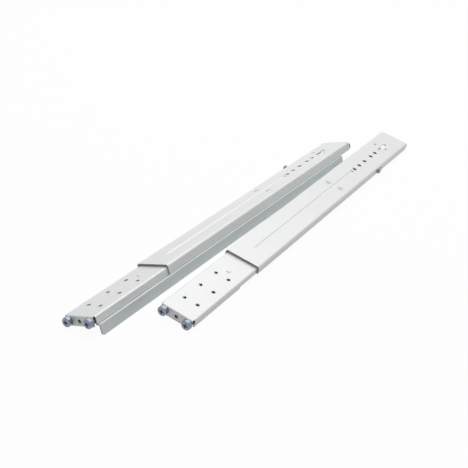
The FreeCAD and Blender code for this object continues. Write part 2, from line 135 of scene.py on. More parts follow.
SHARP_ANGLE = math.radians(28)


class RailSizeSettings(bpy.types.PropertyGroup):
    """Sizes of holes and screw heads, in millimetres."""

    row_hole_diameter: bpy.props.FloatProperty(
        name="Row holes", description="Diameter of the holes in the row behind the bead",
        min=1, max=8, default=6.5)
    slot_width: bpy.props.FloatProperty(
        name="Slot width", description="Width of the slot behind the row of holes",
        min=2, max=8, default=5.0)
    slot_length: bpy.props.FloatProperty(
        name="Slot length", description="Length of the slot behind the row of holes",
        min=9, max=40, default=26.0)
    screw_head_diameter: bpy.props.FloatProperty(
        name="Rack screw heads", description="Diameter of the rack screws' heads",
        min=8, max=13, default=11.5)


class RailSheetSettings(bpy.types.PropertyGroup):
    """Colours and polish of the bent sheet parts."""

    web_colour: bpy.props.FloatVectorProperty(
        name="Sheet", description="Colour of the channels' and slides' plating",
        subtype="COLOR", size=3, min=0, max=1, default=(0.86, 0.868, 0.865))
    ledge_colour: bpy.props.FloatVectorProperty(
        name="Ledge", description="Colour of the support ledges' plating",
        subtype="COLOR", size=3, min=0, max=1, default=(0.70, 0.745, 0.755))
    # Painted shade: a darker colour for the sheet's cut ends and downward-facing lower rims, which
    # stand in shade.
    edge_shade_colour: bpy.props.FloatVectorProperty(
        name="Edge shade", description="Colour of the painted shade on the cut ends and lower rims of the sheet",
        subtype="COLOR", size=3, min=0, max=1, default=(0.30, 0.31, 0.32))
    roughness: bpy.props.FloatProperty(
        name="Roughness", description="Polish of the sheet's plating",
        subtype="FACTOR", min=0, max=1, default=0.38)
    metallic: bpy.props.FloatProperty(
        name="Metal", description="How much of the sheet's finish is bare metal sheen",
        subtype="FACTOR", min=0, max=1, default=0.2)


class RailFastenerSettings(bpy.types.PropertyGroup):
    """Colours and polish of screws, nuts, studs and bushes."""

    screw_colour: bpy.props.FloatVectorProperty(
        name="Screws", description="Colour of the blue-passivated screws",
        subtype="COLOR", size=3, min=0, max=1, default=(0.25, 0.29, 0.35))
    washer_colour: bpy.props.FloatVectorProperty(
        name="Washers", description="Colour of the screws' lock washers",
        subtype="COLOR", size=3, min=0, max=1, default=(0.22, 0.25, 0.31))
    nut_colour: bpy.props.FloatVectorProperty(
        name="Clinch nuts", description="Colour of the pressed-in nuts",
        subtype="COLOR", size=3, min=0, max=1, default=(0.34, 0.35, 0.37))
    stud_colour: bpy.props.FloatVectorProperty(
        name="Guide studs", description="Colour of the guide studs and their nuts",
        subtype="COLOR", size=3, min=0, max=1, default=(0.60, 0.62, 0.63))
    nylon_colour: bpy.props.FloatVectorProperty(
        name="Nylon", description="Colour of the bushes and the clamp washers",
        subtype="COLOR", size=3, min=0, max=1, default=(0.82, 0.81, 0.76))
    screw_roughness: bpy.props.FloatProperty(
        name="Screw roughness", description="Polish of the screws",
        subtype="FACTOR", min=0, max=1, default=0.24)


class RailStudioSettings(bpy.types.PropertyGroup):
    """Floor, lamps and camera."""

    # The floor's plain colour also shows under the rails, where it is a painted shadow.
    floor_colour: bpy.props.FloatVectorProperty(
        name="Floor", description="Colour of the studio floor",
        subtype="COLOR", size=3, min=0, max=1, default=(0.38, 0.38, 0.38))
    floor_whiteness: bpy.props.FloatProperty(
        name="Floor whiteness", description="How much of the floor's look is even white",
        subtype="FACTOR", min=0, max=1, default=0.95)
    floor_size: bpy.props.FloatProperty(
        name="Floor size", description="Side of the square floor",
        subtype="DISTANCE", unit="LENGTH", min=1, default=30.0)
    overhead_power: bpy.props.FloatProperty(
        name="Overhead lamp", description="Power of the large lamp above the rails",
        unit="POWER", min=0, default=27.5)
    key_power: bpy.props.FloatProperty(
        name="Key lamp", description="Power of the lamp behind the rails on the left",
        unit="POWER", min=0, default=6.5)
    world_strength: bpy.props.FloatProperty(
        name="Room light", description="Strength of the room's even light",
        min=0, max=2, default=0.32)
    focal_length: bpy.props.FloatProperty(
        name="Focal length", description="Focal length of the camera",
        unit="CAMERA", min=10, default=68.37)


# Node groups

def new_group(name, inputs, outputs):
    """An empty shader node group with named sockets. Each input is a name, a kind and a default."""
    group = bpy.data.node_groups.new(name, "ShaderNodeTree")
    for label, kind, default in inputs:
        socket = group.interface.new_socket(label, in_out="INPUT", socket_type=kind)
        socket.default_value = default
    for label, kind in outputs:
        group.interface.new_socket(label, in_out="OUTPUT", socket_type=kind)
    return group, group.nodes.new("NodeGroupInput"), group.nodes.new("NodeGroupOutput")


def rolled_grain_group():
    """Fine grain drawn along the rail, and broad soft clouds in the plating."""
    group, taken, given = new_group(
        "rolled_grain",
        [("Colour", "NodeSocketColor", (0.8, 0.8, 0.8, 1)),
         ("Cloudiness", "NodeSocketFloat", 0.03),
         ("Roughness", "NodeSocketFloat", 0.4),
         ("Grain", "NodeSocketFloat", 0.06)],
        [("Colour", "NodeSocketColor"), ("Roughness", "NodeSocketFloat"),
         ("Height", "NodeSocketFloat")])
    nodes, links = group.nodes, group.links
    place = nodes.new("ShaderNodeTexCoord")
    stretch = nodes.new("ShaderNodeMapping")
    stretch.inputs["Scale"].default_value = (1400, 30, 1400)
    grain = nodes.new("ShaderNodeTexNoise")
    grain.inputs["Scale"].default_value = 1.0
    grain.inputs["Detail"].default_value = 2.0
    clouds = nodes.new("ShaderNodeTexNoise")
    clouds.inputs["Scale"].default_value = 34.0
    clouds.inputs["Detail"].default_value = 3.0
    links.new(place.outputs["Object"], stretch.inputs["Vector"])
    links.new(stretch.outputs["Vector"], grain.inputs["Vector"])
    links.new(place.outputs["Object"], clouds.inputs["Vector"])
    cloud_level = nodes.new("ShaderNodeMath")
    cloud_level.operation = "SUBTRACT"
    cloud_level.inputs[1].default_value = 0.5
    links.new(clouds.outputs["Fac"], cloud_level.inputs[0])
    cloud_share = nodes.new("ShaderNodeMath")
    cloud_share.operation = "MULTIPLY_ADD"
    cloud_share.inputs[2].default_value = 1.0
    links.new(cloud_level.outputs[0], cloud_share.inputs[0])
    links.new(taken.outputs["Cloudiness"], cloud_share.inputs[1])
    tint = nodes.new("ShaderNodeVectorMath")
    tint.operation = "SCALE"
    links.new(taken.outputs["Colour"], tint.inputs[0])
    links.new(cloud_share.outputs[0], tint.inputs["Scale"])
    links.new(tint.outputs["Vector"], given.inputs["Colour"])
    grain_level = nodes.new("ShaderNodeMath")
    grain_level.operation = "SUBTRACT"
    grain_level.inputs[1].default_value = 0.5
    links.new(grain.outputs["Fac"], grain_level.inputs[0])
    rough = nodes.new("ShaderNodeMath")
    rough.operation = "MULTIPLY_ADD"
    rough.use_clamp = True
    links.new(grain_level.outputs[0], rough.inputs[0])
    links.new(taken.outputs["Grain"], rough.inputs[1])
    links.new(taken.outputs["Roughness"], rough.inputs[2])
    links.new(rough.outputs[0], given.inputs["Roughness"])
    links.new(grain.outputs["Fac"], given.inputs["Height"])
    return group


def metal(name, grain_group, colour, roughness, metallic, cloudiness, grain, bump):
    """Plated metal with drawn grain."""
    material = bpy.data.materials.new(name)
    material.use_nodes = True
    nodes, links = material.node_tree.nodes, material.node_tree.links
    shader = nodes["Principled BSDF"]
    shader.inputs["Metallic"].default_value = metallic
    effect = nodes.new("ShaderNodeGroup")
    effect.node_tree = grain_group
    effect.inputs["Colour"].default_value = (*colour, 1)
    effect.inputs["Roughness"].default_value = roughness
    effect.inputs["Cloudiness"].default_value = cloudiness
    effect.inputs["Grain"].default_value = grain
    relief = nodes.new("ShaderNodeBump")
    relief.inputs["Strength"].default_value = bump
    relief.inputs["Distance"].default_value = 0.00002
    links.new(effect.outputs["Colour"], shader.inputs["Base Color"])
    links.new(effect.outputs["Roughness"], shader.inputs["Roughness"])
    links.new(effect.outputs["Height"], relief.inputs["Height"])
    links.new(relief.outputs["Normal"], shader.inputs["Normal"])
    return material


def nylon(name, colour):
    """Plain natural nylon that lets a little light in."""
    material = bpy.data.materials.new(name)
    material.use_nodes = True
    shader = material.node_tree.nodes["Principled BSDF"]
    shader.inputs["Base Color"].default_value = (*colour, 1)
    shader.inputs["Roughness"].default_value = 0.5
    shader.inputs["Subsurface Weight"].default_value = 0.1
    shader.inputs["Subsurface Radius"].default_value = (0.001, 0.001, 0.001)
    return material


def finish_nodes(piece, material):
    """Gives both rails' nodes of one kind a finish."""
    for side in SIDES:
        node = NODES[side + "_" + piece]
        node.data.materials.clear()
        node.data.materials.append(material)


def grain_group():
    """The one grain group that all metals share."""
    return bpy.data.node_groups.get("rolled_grain") or rolled_grain_group()


def sheet_metal(name, colour):
    """Plating of the bent sheet parts."""
    settings = bpy.context.scene.rail_sheet
    return metal(name, grain_group(), colour, settings.roughness, settings.metallic,
                 0.05, 0.12, 0.12)


def fastener_metal(name, colour, metallic=0.9):
    """Plating of turned and pressed fasteners."""
    settings = bpy.context.scene.rail_fasteners
    return metal(name, grain_group(), colour, settings.screw_roughness, metallic, 0.12, 0.1, 0.05)


# Shapes

def closed(build):
    """Fills what is open and turns all faces outwards."""
    bmesh.ops.remove_doubles(build, verts=build.verts, dist=1e-3)
    bmesh.ops.holes_fill(build, edges=[edge for edge in build.edges if edge.is_boundary])
    bmesh.ops.recalc_face_normals(build, faces=build.faces)


def prism(build, outline, axis, low, high):
    """A few corners of two coordinates, drawn out along the third axis."""
    spot = {"x": lambda a, b: (low, a, b), "y": lambda a, b: (a, low, b),
            "z": lambda a, b: (a, b, low)}[axis]
    face = build.faces.new([build.verts.new(spot(a, b)) for a, b in outline])
    drawn = bmesh.ops.extrude_face_region(build, geom=[face])["geom"]
    shift = [high - low if name == axis else 0 for name in "xyz"]
    bmesh.ops.translate(build, vec=shift,
                        verts=[part for part in drawn if isinstance(part, bmesh.types.BMVert)])
    closed(build)


def rounded(build, axis, corner, radius, segments=7):
    """Bends or rounds the edges along one axis that stand at a corner of two coordinates."""
    across = [i for i, name in enumerate("xyz") if name != axis]
    edges = [edge for edge in build.edges
             if all(abs(vert.co[i] - place) < 1e-4 for vert in edge.verts
                    for i, place in zip(across, corner))]
    bmesh.ops.bevel(build, geom=edges, offset=radius, offset_type="OFFSET", segments=segments,
                    profile=0.5, affect="EDGES", material=-1)


def block(build, x0, x1, y0, y1, z0, z1):
    """A box between two places on each axis."""
    prism(build, ((x0, y0), (x1, y0), (x1, y1), (x0, y1)), "z", z0, z1)


def bar(build, radius, start, end, end_radius=None, sides=32):
    """A round bar, or a cone, from one point to another."""
    way = Vector(end) - Vector(start)
    place = (Matrix.Translation((Vector(start) + Vector(end)) / 2)
             @ way.to_track_quat("Z", "Y").to_matrix().to_4x4())
    bmesh.ops.create_cone(build, cap_ends=True, segments=sides, radius1=radius,
                          radius2=radius if end_radius is None else end_radius,
                          depth=way.length, matrix=place)


def turned(build, profile, centre, axis, steps=32):
    """A profile spun round an axis. It gives places along the axis and radii."""
    along = Vector(axis)
    across = along.orthogonal().normalized()
    verts = [build.verts.new(Vector(centre) + along * place + across * radius)
             for place, radius in profile]
    edges = [build.edges.new(pair) for pair in zip(verts, verts[1:])]
    bmesh.ops.spin(build, geom=verts + edges, cent=centre, axis=along, angle=2 * math.pi,
                   steps=steps, use_merge=True)
    closed(build)


def carved(body, tool, kind="DIFFERENCE"):
    """The first solid cut by, or joined to, the second."""
    parts = []
    for build in (body, tool):
        bmesh.ops.recalc_face_normals(build, faces=build.faces)
        mesh = bpy.data.meshes.new("work")
        build.to_mesh(mesh)
        build.free()
        part = bpy.data.objects.new("work", mesh)
        bpy.context.scene.collection.objects.link(part)
        parts.append(part)
    step = parts[0].modifiers.new("carve", "BOOLEAN")
    step.operation = kind
    step.solver = "EXACT"
    step.object = parts[1]
    result = bmesh.new()
    result.from_object(parts[0], bpy.context.evaluated_depsgraph_get())
    for part in parts:
        mesh = part.data
        bpy.data.objects.remove(part)
        bpy.data.meshes.remove(mesh)
    return result


def rail_matrix(side):
    """From a rail's own frame in millimetres to the shared frame in metres."""
    hand = HAND[side]
    return (Matrix.Scale(0.001, 4)
            @ Matrix.Translation(Vector(PLACE[side]) + Vector(FRAME_SHIFT))
            @ Matrix.Rotation(HEADING[side], 4, "Z")
            @ Matrix.Rotation(-hand * TILT, 4, "Y")
            @ Matrix.Diagonal((hand, 1, 1, 1)))


def gets_painted_shade(face):
    """Faces that get the painted shade colour: cut ends along the rail and downward lower rims of
    bent sheet, but not the outer faces of the end flanges.
    """
    middle = face.calc_center_median()
    if face.normal.z < -0.95:
        return middle.z < -8
    on_flange = middle.y < 1.5 or middle.y > END - 2
    return abs(face.normal.y) > 0.95 and not on_flange


def finished_piece(name, build, side, body, node, materials):
    """Puts a solid in its place on its rail, in place of the CAD node."""
    bmesh.ops.recalc_face_normals(build, faces=build.faces)
    # Cut ends and lower rims get the second material, whose darker colour is painted shade.
    if len(materials) > 1:
        for face in build.faces:
            face.material_index = 1 if gets_painted_shade(face) else 0
    for face in build.faces:
        face.smooth = True
    for edge in build.edges:
        edge.smooth = edge.calc_face_angle(math.pi) < SHARP_ANGLE
    build.transform(rail_matrix(side))
    bmesh.ops.recalc_face_normals(build, faces=build.faces)
    mesh = bpy.data.meshes.new(name)
    build.to_mesh(mesh)
    build.free()
    for material in materials:
        mesh.materials.append(material)
    piece = bpy.data.objects.new(name, mesh)
    bpy.context.scene.collection.objects.link(piece)
    flat = piece.modifiers.new("flat_faces", "WEIGHTED_NORMAL")
    flat.keep_sharp = True
    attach(piece, body)
    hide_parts(node)


def channel(y0, y1, half, top, free, ledge, sheet, bend):
    """A bent channel, open below. Free and ledge are the bottoms of its two sides."""
    build = bmesh.new()
    inside, under = half - sheet, top - sheet
    prism(build, ((-half, free), (-half, top), (half, top), (half, ledge), (inside, ledge),
                  (inside, under), (-inside, under), (-inside, free)), "y", y0, y1)
    for hand in (-1, 1):
        rounded(build, "y", (hand * half, top), bend)
        rounded(build, "y", (hand * inside, under), bend - sheet)
    return build


def with_end_flange(body, face_y, inward, top, sheet, bend):
    """Joins a flange that is bent down from the web's end."""
    back, reach = face_y + inward * sheet, face_y + inward * (NOTCH + 1)
    flange = bmesh.new()
    prism(flange, ((face_y, FLANGE_BOTTOM), (face_y, top), (reach, top), (reach, top - sheet),
                   (back, top - sheet), (back, FLANGE_BOTTOM)), "x", -FLANGE_HALF, FLANGE_HALF)
    rounded(flange, "x", (face_y, top), bend)
    rounded(flange, "x", (back, top - sheet), bend - sheet)
    for hand in (-1, 1):
        rounded(flange, "y", (hand * FLANGE_HALF, FLANGE_BOTTOM), FLANGE_CORNER, 4)
    tool = bmesh.new()
    for x in SCREW_PLACES + (0.0,):
        bar(tool, NUT_HOLE, (x, face_y - inward, SCREW_DROP), (x, reach, SCREW_DROP))
    return carved(carved(body, flange, "UNION"), tool)


def slot_cutter(build, width, length, x, y, z0, z1):
    """A slot with round ends, drawn along the rail."""
    half, reach = width / 2, length / 2
    block(build, x - half, x + half, y - reach, y + reach, z0, z1)
    for a in (-half, half):
        for b in (-reach, reach):
            rounded(build, "z", (x + a, y + b), half * 0.999, 10)


def channel_solid(side):
    """A rear channel with its bead, row of holes, slot and seats for studs and rivets."""
    sizes = bpy.context.scene.rail_sizes
    mouth, end = MOUTH + PULL[side], END + PULL[side]
    body = channel(mouth, end - NOTCH, CHANNEL_HALF, 0, CHANNEL_FREE_BOTTOM, SIDE_BOTTOM,
                   CHANNEL_SHEET, CHANNEL_BEND)
    body = with_end_flange(body, end, -1, 0, CHANNEL_SHEET, CHANNEL_BEND)
    start, stop = mouth + BEAD_SPAN[0], mouth + BEAD_SPAN[1]
    swelling = bmesh.new()
    bar(swelling, BEAD_RADIUS + CHANNEL_SHEET, (0, start - SWELLING, BEAD_AXIS),
        (0, stop + SWELLING, BEAD_AXIS), sides=48)
    bmesh.ops.bisect_plane(swelling, geom=swelling.verts[:] + swelling.edges[:]
                           + swelling.faces[:], plane_co=(0, 0, -CHANNEL_SHEET / 2),
                           plane_no=(0, 0, 1), clear_outer=True)
    closed(swelling)
    body = carved(body, swelling, "UNION")
    bead = bmesh.new()
    bar(bead, BEAD_RADIUS, (0, start, BEAD_AXIS), (0, stop, BEAD_AXIS), sides=48)
    body = carved(body, bead)
    tool = bmesh.new()
    low, high = WEB_CUT
    for station in ROW:
        bar(tool, sizes.row_hole_diameter / 2, (0, mouth + station, low),
            (0, mouth + station, high))
    slot_cutter(tool, sizes.slot_width, sizes.slot_length, 0, mouth + SLOT_STATION, low, high)
    for place in PILOT_PLACES:
        x = HAND[side] * place
        bar(tool, PILOT_RADIUS, (x, mouth + PILOT_STATION, low), (x, mouth + PILOT_STATION, high))
    for x in STUD_PLACES:
        bar(tool, STUD_RADIUS + CLEAR, (x, mouth + STUD_STATION, low),
            (x, mouth + STUD_STATION, high))
    for station in RIVET_STATIONS:
        y = mouth + station
        bar(tool, RIVET_RADIUS + CLEAR, (15, y, RIVET_DROP), (25, y, RIVET_DROP), sides=16)
    y = mouth + CLAMP_STATION
    bar(tool, CLAMP_RADIUS + CLEAR, (-15, y, CLAMP_DROP), (-25, y, CLAMP_DROP), sides=20)
    body = carved(body, tool)
    seats = bmesh.new()
    for x in STUD_PLACES:
        bar(seats, STUD_HEAD_RADIUS + CLEAR, (x, mouth + STUD_STATION, STUD_HEAD_SEAT),
            (x, mouth + STUD_STATION, high))
    return carved(body, seats)


def slide_solid():
    """A front slide with its end flange, dimple, web holes and guide slots."""
    body = channel(NOTCH, SLIDE_LENGTH, SLIDE_HALF, SLIDE_TOP, SIDE_BOTTOM, SIDE_BOTTOM,
                   SLIDE_SHEET, SLIDE_BEND)
    body = with_end_flange(body, 0, 1, SLIDE_TOP, SLIDE_SHEET, SLIDE_FLANGE_BEND)
    dimple = bmesh.new()
    bar(dimple, 3.35, (0, DIMPLE_STATION, SLIDE_TOP - 0.1), (0, DIMPLE_STATION, SLIDE_TOP + 1),
        2.25)
    body = carved(body, dimple, "UNION")
    tool = bmesh.new()
    block(tool, -24, -12, HEAD_LENGTH, SLIDE_LENGTH + 1, -20, SLIDE_FREE_BOTTOM)
    block(tool, 15, 24, MOUTH + 15, SLIDE_LENGTH + 1, -20, SLIDE_LEDGE_BOTTOM)
    low, high = SLIDE_CUT
    for pair in range(3):
        y = WEB_HOLE_START + WEB_HOLE_PITCH * pair
        for x in WEB_HOLE_PLACES:
            bar(tool, WEB_HOLE_RADIUS, (x, y, low), (x, y, high))
    row_radius = bpy.context.scene.rail_sizes.row_hole_diameter / 2
    for station in (ROW[0], ROW[2], ROW[3]):
        bar(tool, row_radius, (0, MOUTH + station, low), (0, MOUTH + station, high))
    for x in STUD_PLACES:
        slot_cutter(tool, GUIDE_SLOT_WIDTH, GUIDE_SLOT_LENGTH, x, GUIDE_SLOT_MIDDLE, low, high)
    hollow = bmesh.new()
    bar(hollow, 2.6, (0, DIMPLE_STATION, -5), (0, DIMPLE_STATION, SLIDE_TOP + 0.1), 1.9)
    return carved(carved(body, tool), hollow)


def ledge_solid(side):
    """The ledge's section: an upper leg behind the rivets, a bend outward and a long face."""
    y0, y1 = (place + PULL[side] for place in LEDGE_SPAN)
    outer_back = LEDGE_OUTER - CHANNEL_SHEET
    leg_face = LEDGE_INNER + CHANNEL_SHEET
    body = bmesh.new()
    prism(body, ((LEDGE_INNER, LEDGE_TOP), (leg_face, LEDGE_TOP), (leg_face, LEDGE_CREASE),
                 (LEDGE_OUTER, LEDGE_CREASE), (LEDGE_OUTER, LEDGE_BOTTOM),
                 (outer_back, LEDGE_BOTTOM), (outer_back, LEDGE_UNDER),
                 (LEDGE_INNER, LEDGE_UNDER)), "y", y0, y1)
    for corner in ((LEDGE_OUTER, LEDGE_CREASE), (LEDGE_INNER, LEDGE_UNDER)):
        rounded(body, "y", corner, LEDGE_BEND, 5)
    tool = bmesh.new()
    block(tool, 18, 20.8, y0 - 1, y0 + 8, LEDGE_CREASE, -8)
    for y, inward in ((y0, 1), (y1, -1)):
        prism(tool, ((y - inward, LEDGE_BOTTOM + 2), (y, LEDGE_BOTTOM + 2),
                     (y + inward * 2, LEDGE_BOTTOM), (y + inward * 2, LEDGE_BOTTOM - 1),
                     (y - inward, LEDGE_BOTTOM - 1)), "x", 22, 27)
    for station in RIVET_STATIONS:
        y = MOUTH + PULL[side] + station
        bar(tool, RIVET_RADIUS + CLEAR, (17, y, RIVET_DROP), (22, y, RIVET_DROP), sides=16)
    return carved(body, tool)


def rivets_solid(side):
    """Shouldered rivets between the ledge's upper leg and the channel's side."""
    build = bmesh.new()
    profile = ((18.3, 0), (18.3, 1.1), (19, 1.8), (19, 1.2), (20.5, 1.2), (20.5, 1.6), (22.25, 1.6),
               (22.25, 1.2), (CHANNEL_HALF, 1.2), (CHANNEL_HALF, 0))
    for station in RIVET_STATIONS:
        turned(build, profile, (0, MOUTH + PULL[side] + station, RIVET_DROP), (1, 0, 0), 20)
    return build


def rack_screws_solid(face_y, outward):
    """Two cross-recess screws with rounded heads and cut threads."""
    washer, height, rim, grip = 1.1, 4.6, 1.3, 12.0
    recess_depth, recess_reach, recess_half = 2.4, 3.2, 0.75
    radius = bpy.context.scene.rail_sizes.screw_head_diameter / 2
    crown = washer + height
    tip = washer - grip
    profile = [(tip - 0.3, 0), (tip - 0.3, 1.8)]
    for turn in range(THREAD_TURNS):
        profile += [(tip + THREAD_PITCH * turn, THREAD_ROOT),
                    (tip + THREAD_PITCH * (turn + 0.5), THREAD_CREST)]
    profile += [(washer, THREAD_CREST), (washer, radius), (crown, radius), (crown, 0)]
    build = bmesh.new()
    for x in SCREW_PLACES:
        turned(build, profile, (x, face_y, SCREW_DROP), (0, outward, 0), 36)
    crown_y = face_y + outward * crown
    ends = [edge for edge in build.edges
            if all(abs(vert.co.y - crown_y) < 1e-4
                   and math.hypot(abs(vert.co.x) - SCREW_PLACES[1],
                                  vert.co.z - SCREW_DROP) > radius - 1e-3
                   for vert in edge.verts)]
    bmesh.ops.bevel(build, geom=ends, offset=rim, offset_type="OFFSET", segments=5,
                    profile=0.5, affect="EDGES", material=-1)
    y0, y1 = sorted((face_y + outward * (crown - recess_depth), face_y + outward * (crown + 1)))
    for half_x, half_z in ((recess_reach, recess_half), (recess_half, recess_reach)):
        tool = bmesh.new()
        for x in SCREW_PLACES:
            block(tool, x - half_x, x + half_x, y0, y1, SCREW_DROP - half_z, SCREW_DROP + half_z)
        build = carved(build, tool)
    return build


def clamp_solid(side):
    """A thumb screw with ribs round its head."""
    y = MOUTH + PULL[side] + CLAMP_STATION
    head = bmesh.new()
    bar(head, CLAMP_HEAD_RADIUS, (CLAMP_HEAD[0], y, CLAMP_DROP),
        (CLAMP_HEAD[1], y, CLAMP_DROP), sides=36)
    sides = [face for face in head.faces if abs(face.normal.x) < 0.5]
    sides.sort(key=lambda face: math.atan2(face.calc_center_median().z - CLAMP_DROP,
                                           face.calc_center_median().y - y))
    ribs = bmesh.ops.extrude_discrete_faces(head, faces=sides[::2])["faces"]
    for face in ribs:
        bmesh.ops.translate(head, vec=face.normal * CLAMP_RIB, verts=face.verts)
    shank = bmesh.new()
    bar(shank, CLAMP_RADIUS, (-25, y, CLAMP_DROP), (CLAMP_TIP, y, CLAMP_DROP), sides=24)
    return carved(head, shank, "UNION")


def clamp_washer_solid(side):
    """A flat ring between the thumb screw's head and the channel's side."""
    y = MOUTH + PULL[side] + CLAMP_STATION
    build = bmesh.new()
    bar(build, CLAMP_WASHER_RADIUS, (CLAMP_HEAD[1], y, CLAMP_DROP),
        (-CHANNEL_HALF, y, CLAMP_DROP))
    bore = bmesh.new()
    bar(bore, CLAMP_RADIUS + CLEAR, (-26, y, CLAMP_DROP), (-22, y, CLAMP_DROP), sides=24)
    return carved(build, bore)


class RAIL_OT_channels(bpy.types.Operator):
    """Build and finish the two rear channels"""

    bl_idname = "rail.channels"
    bl_label = "Rear channels"

    def execute(self, context):
        settings = context.scene.rail_sheet
        # The second material is painted shade for the cut ends and lower rims.
        looks = (sheet_metal("channel_plating", settings.web_colour),
                 sheet_metal("channel_edge_shade", settings.edge_shade_colour))
        for side in SIDES:
            finished_piece(side + "_channel_sheet", channel_solid(side), side, "rear_rails",
                           side + "_rear_channel", looks)
        return {"FINISHED"}


class RAIL_OT_slides(bpy.types.Operator):
    """Build and finish the two front slides"""

    bl_idname = "rail.slides"
    bl_label = "Front slides"

    def execute(self, context):
        settings = context.scene.rail_sheet
        # The second material is painted shade for the cut ends and lower rims.
        looks = (sheet_metal("slide_plating", settings.web_colour),
                 sheet_metal("slide_edge_shade", settings.edge_shade_colour))
        for side in SIDES:
            finished_piece(side + "_slide_sheet", slide_solid(), side, side + "_front",
                           side + "_front_slide", looks)
        return {"FINISHED"}


class RAIL_OT_ledges(bpy.types.Operator):
    """Build and finish the support ledges and their rivets"""

    bl_idname = "rail.ledges"
    bl_label = "Support ledges"

    def execute(self, context):
        settings = context.scene.rail_sheet
        plating = sheet_metal("ledge_plating", settings.ledge_colour)
        # Painted shade for the ledge's cut ends and lower rims.
        edges = sheet_metal("ledge_edge_shade", settings.edge_shade_colour)
        for side in SIDES:
            finished_piece(side + "_ledge_sheet", ledge_solid(side), side, "rear_rails",
                           side + "_support_ledge", (plating, edges))
            finished_piece(side + "_rivet_set", rivets_solid(side), side, "rear_rails",
                           side + "_ledge_rivets", (plating,))
        return {"FINISHED"}


class RAIL_OT_guides(bpy.types.Operator):
    """Finish the guide studs with their fittings, and build the clamp washers"""

    bl_idname = "rail.guides"
    bl_label = "Guide studs"

    def execute(self, context):
        settings = context.scene.rail_fasteners
        material = fastener_metal("stud_plating", settings.stud_colour)
        for piece in ("guide_studs", "guide_washers", "guide_nuts"):
            finish_nodes(piece, material)
        white = nylon("natural_nylon", settings.nylon_colour)
        finish_nodes("guide_bushes", white)
        for side in SIDES:
            finished_piece(side + "_clamp_ring", clamp_washer_solid(side), side, "rear_rails",
                           side + "_clamp_washer", (white,))
        return {"FINISHED"}


class RAIL_OT_screws(bpy.types.Operator):
    """Build and finish the rack and clamp screws, and finish the lock washers"""

    bl_idname = "rail.screws"
    bl_label = "Screws"

    def execute(self, context):
        settings = context.scene.rail_fasteners
        blue = fastener_metal("screw_plating", settings.screw_colour)
        for side in SIDES:
            rear_face = END + PULL[side]
            for end, solid, body in (("front", rack_screws_solid(0, -1), side + "_front"),
                                     ("rear", rack_screws_solid(rear_face, 1), "rear_rails")):
                finished_piece(side + "_" + end + "_screw_pair", solid, side, body,
                               side + "_" + end + "_screws", (blue,))
            finished_piece(side + "_thumb_screw", clamp_solid(side), side, side + "_clamp",
                           side + "_clamp_screw", (blue,))
        dark = fastener_metal("washer_plating", settings.washer_colour)
        for piece in ("front_lock_washers", "rear_lock_washers"):
            finish_nodes(piece, dark)
        return {"FINISHED"}


class RAIL_OT_clinch_nuts(bpy.types.Operator):
    """Finish the nuts pressed into the end flanges"""

    bl_idname = "rail.clinch_nuts"
    bl_label = "Clinch nuts"

    def execute(self, context):
        material = fastener_metal("nut_plating", context.scene.rail_fasteners.nut_colour)
        for piece in ("front_clinch_nuts", "front_centre_nut", "rear_clinch_nuts",
                      "rear_centre_nut"):
            finish_nodes(piece, material)
        return {"FINISHED"}


def area_lamp(name, place, target, size, power):
    """A rectangular lamp that points at a target."""
    data = bpy.data.lights.new(name, "AREA")
    data.shape = "RECTANGLE"
    data.size, data.size_y = size
    data.energy = power
    lamp = bpy.data.objects.new(name, data)
    bpy.context.scene.collection.objects.link(lamp)
    lamp.location = place
    lamp.rotation_euler = (Vector(target) - Vector(place)).to_track_quat("-Z", "Y").to_euler()


def seen_rays(tree):
    """1 for camera, mirror and glass rays, and 0 for all others."""
    path = tree.nodes.new("ShaderNodeLightPath")
    seen = path.outputs["Is Camera Ray"]
    for kind in ("Is Glossy Ray", "Is Transmission Ray"):
        either = tree.nodes.new("ShaderNodeMath")
        either.operation = "MAXIMUM"
        tree.links.new(seen, either.inputs[0])
        tree.links.new(path.outputs[kind], either.inputs[1])
        seen = either.outputs[0]
    return seen


def mixed(tree, share, first, second, output):
    """Joins two shaders to an output. Share is a socket or a number."""
    mix = tree.nodes.new("ShaderNodeMixShader")
    if isinstance(share, float):
        mix.inputs["Fac"].default_value = share
    else:
        tree.links.new(share, mix.inputs["Fac"])
    tree.links.new(first, mix.inputs[1])
    tree.links.new(second, mix.inputs[2])
    if output is not None:
        tree.links.new(mix.outputs[0], output)
    return mix.outputs[0]


def calculated(tree, operation, first, second=None):
    """The result of one sum on sockets or numbers."""
    node = tree.nodes.new("ShaderNodeMath")
    node.operation = operation
    for socket, value in zip(node.inputs, (first, second)):
        if isinstance(value, float):
            socket.default_value = value
        elif value is not None:
            tree.links.new(value, socket)
    return node.outputs[0]


